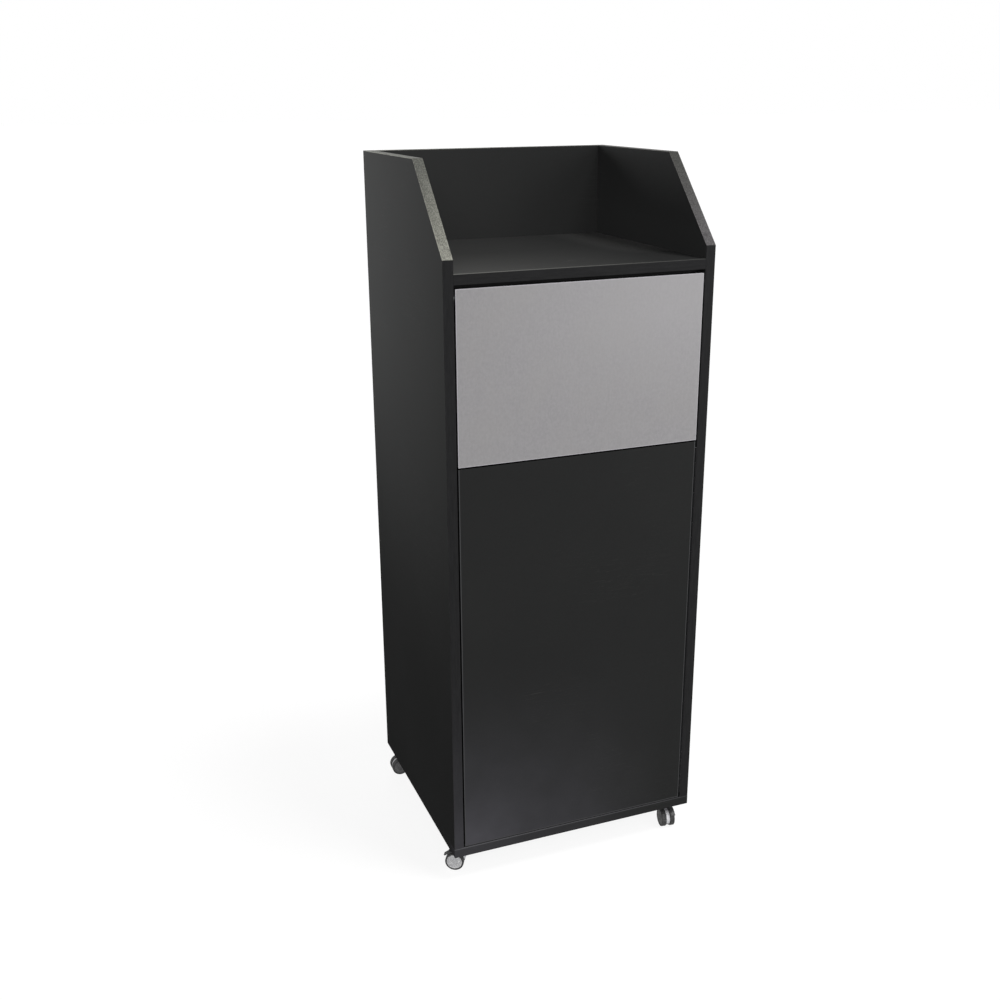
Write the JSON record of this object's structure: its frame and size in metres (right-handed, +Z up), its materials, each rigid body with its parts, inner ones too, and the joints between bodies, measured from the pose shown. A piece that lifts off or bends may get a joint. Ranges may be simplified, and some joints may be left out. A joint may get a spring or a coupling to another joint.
{
  "type": "trash cabinet",
  "caption": "Tall black waste cabinet on casters with a walled tray shelf on top, an inward push flap in light grey and a hinged door over a loose bin",
  "frame": {"origin": "on the floor, under the middle of the cabinet", "axes": "+Z up, +Y to the back, so the flap and the door face -Y; +X to the right as seen from the front"},
  "size_m": [0.5327, 0.4769, 1.3765],
  "materials": {
    "black_board": "black melamine with a fine pearl texture",
    "edge_band": "fine-grained black edge band",
    "flap_core": "black edged board",
    "flap_laminate": "brushed light grey laminate",
    "hinge_black": "black enamel",
    "zinc_steel": "zinc plated",
    "cam_zinc": "die-cast zinc",
    "dowel_wood": "plain beech",
    "bumper_rubber": "soft rubber",
    "nylon": "natural nylon",
    "catch_plastic": "moulded plastic",
    "bin_plastic": "moulded dark grey polyethylene",
    "caster_hood": "silver grey moulding",
    "wheel_plastic": "light grey moulding",
    "tyre_rubber": "black thermoplastic rubber",
    "lever_plastic": "black moulding"
  },
  "bodies": {
    "cabinet": {"left_side": "black_board", "right_side": "black_board", "left_edge_band": "edge_band", "right_edge_band": "edge_band", "back_panel": "black_board", "back_edge_band": "edge_band", "bottom_board": "black_board", "tray_shelf": "black_board", "tray_edge_band": "edge_band", "stop_rail": "black_board", "flap_bumpers": "bumper_rubber", "flap_bushes": "nylon", "hinge_cabinet_leaf": "hinge_black", "hinge_pin": "zinc_steel", "door_catch": "catch_plastic", "bin": "bin_plastic", "bin_guides": "black_board", "cam_locks": "cam_zinc", "cam_bolts": "zinc_steel", "dowels": "dowel_wood", "long_screws": "zinc_steel", "batten_screws": "zinc_steel", "cabinet_fitting_screws": "zinc_steel", "caster_plates": "zinc_steel", "kingpins": "zinc_steel", "caster_screws": "zinc_steel"},
    "flap": {"flap_core": "flap_core", "flap_face": "flap_laminate", "flap_pivot_pins": "zinc_steel"},
    "door": {"door_panel": "black_board", "hinge_door_leaf": "hinge_black", "strike_plate": "zinc_steel", "door_fitting_screws": "zinc_steel"},
    "front_left_fork": {"front_left_hood": "caster_hood", "front_left_axle": "zinc_steel"},
    "front_left_roller_a": {"front_left_wheel_a": "wheel_plastic", "front_left_tyre_a": "tyre_rubber"},
    "front_left_roller_b": {"front_left_wheel_b": "wheel_plastic", "front_left_tyre_b": "tyre_rubber"},
    "front_left_brake": {"front_left_lever": "lever_plastic"},
    "front_right_fork": {"front_right_hood": "caster_hood", "front_right_axle": "zinc_steel"},
    "front_right_roller_a": {"front_right_wheel_a": "wheel_plastic", "front_right_tyre_a": "tyre_rubber"},
    "front_right_roller_b": {"front_right_wheel_b": "wheel_plastic", "front_right_tyre_b": "tyre_rubber"},
    "front_right_brake": {"front_right_lever": "lever_plastic"},
    "rear_left_fork": {"rear_left_hood": "caster_hood", "rear_left_axle": "zinc_steel"},
    "rear_left_roller_a": {"rear_left_wheel_a": "wheel_plastic", "rear_left_tyre_a": "tyre_rubber"},
    "rear_left_roller_b": {"rear_left_wheel_b": "wheel_plastic", "rear_left_tyre_b": "tyre_rubber"},
    "rear_right_fork": {"rear_right_hood": "caster_hood", "rear_right_axle": "zinc_steel"},
    "rear_right_roller_a": {"rear_right_wheel_a": "wheel_plastic", "rear_right_tyre_a": "tyre_rubber"},
    "rear_right_roller_b": {"rear_right_wheel_b": "wheel_plastic", "rear_right_tyre_b": "tyre_rubber"}
  },
  "joints": [
    {"name": "flap_swing", "type": "hinge", "parent": "cabinet", "child": "flap", "pos_m": [0, -0.228, 1.156], "axis": [1, 0, 0], "range_deg": [0, 75]},
    {"name": "door_swing", "type": "hinge", "parent": "cabinet", "child": "door", "pos_m": [0.239, -0.2375, 0.4665], "axis": [0, 0, 1], "range_deg": [0, 170]},
    {"name": "front_left_swivel", "type": "hinge", "parent": "cabinet", "child": "front_left_fork", "pos_m": [-0.226, -0.1965, 0.0565], "axis": [0, 0, 1], "continuous": true},
    {"name": "front_left_spin_a", "type": "hinge", "parent": "front_left_fork", "child": "front_left_roller_a", "pos_m": [-0.24202, -0.18725, 0.019], "axis": [-0.5, -0.866, 0], "continuous": true},
    {"name": "front_left_spin_b", "type": "hinge", "parent": "front_left_fork", "child": "front_left_roller_b", "pos_m": [-0.24202, -0.18725, 0.019], "axis": [-0.5, -0.866, 0], "continuous": true},
    {"name": "front_left_brake_press", "type": "hinge", "parent": "front_left_fork", "child": "front_left_brake", "pos_m": [-0.23495, -0.19133, 0.03921], "axis": [-0.5, -0.866, 0], "range_deg": [0, 8]},
    {"name": "front_right_swivel", "type": "hinge", "parent": "cabinet", "child": "front_right_fork", "pos_m": [0.226, -0.1965, 0.0565], "axis": [0, 0, 1], "continuous": true},
    {"name": "front_right_spin_a", "type": "hinge", "parent": "front_right_fork", "child": "front_right_roller_a", "pos_m": [0.22311, -0.21477, 0.019], "axis": [0.9877, -0.1564, 0], "continuous": true},
    {"name": "front_right_spin_b", "type": "hinge", "parent": "front_right_fork", "child": "front_right_roller_b", "pos_m": [0.22311, -0.21477, 0.019], "axis": [0.9877, -0.1564, 0], "continuous": true},
    {"name": "front_right_brake_press", "type": "hinge", "parent": "front_right_fork", "child": "front_right_brake", "pos_m": [0.22438, -0.20671, 0.03921], "axis": [0.9877, -0.1564, 0], "range_deg": [0, 8]},
    {"name": "rear_left_swivel", "type": "hinge", "parent": "cabinet", "child": "rear_left_fork", "pos_m": [-0.226, 0.1965, 0.0565], "axis": [0, 0, 1], "continuous": true},
    {"name": "rear_left_spin_a", "type": "hinge", "parent": "rear_left_fork", "child": "rear_left_roller_a", "pos_m": [-0.24449, 0.19715, 0.019], "axis": [-0.0349, -0.9994, 0], "continuous": true},
    {"name": "rear_left_spin_b", "type": "hinge", "parent": "rear_left_fork", "child": "rear_left_roller_b", "pos_m": [-0.24449, 0.19715, 0.019], "axis": [-0.0349, -0.9994, 0], "continuous": true},
    {"name": "rear_right_swivel", "type": "hinge", "parent": "cabinet", "child": "rear_right_fork", "pos_m": [0.226, 0.1965, 0.0565], "axis": [0, 0, 1], "continuous": true},
    {"name": "rear_right_spin_a", "type": "hinge", "parent": "rear_right_fork", "child": "rear_right_roller_a", "pos_m": [0.24338, 0.20283, 0.019], "axis": [-0.342, 0.9397, 0], "continuous": true},
    {"name": "rear_right_spin_b", "type": "hinge", "parent": "rear_right_fork", "child": "rear_right_roller_b", "pos_m": [0.24338, 0.20283, 0.019], "axis": [-0.342, 0.9397, 0], "continuous": true}
  ]
}
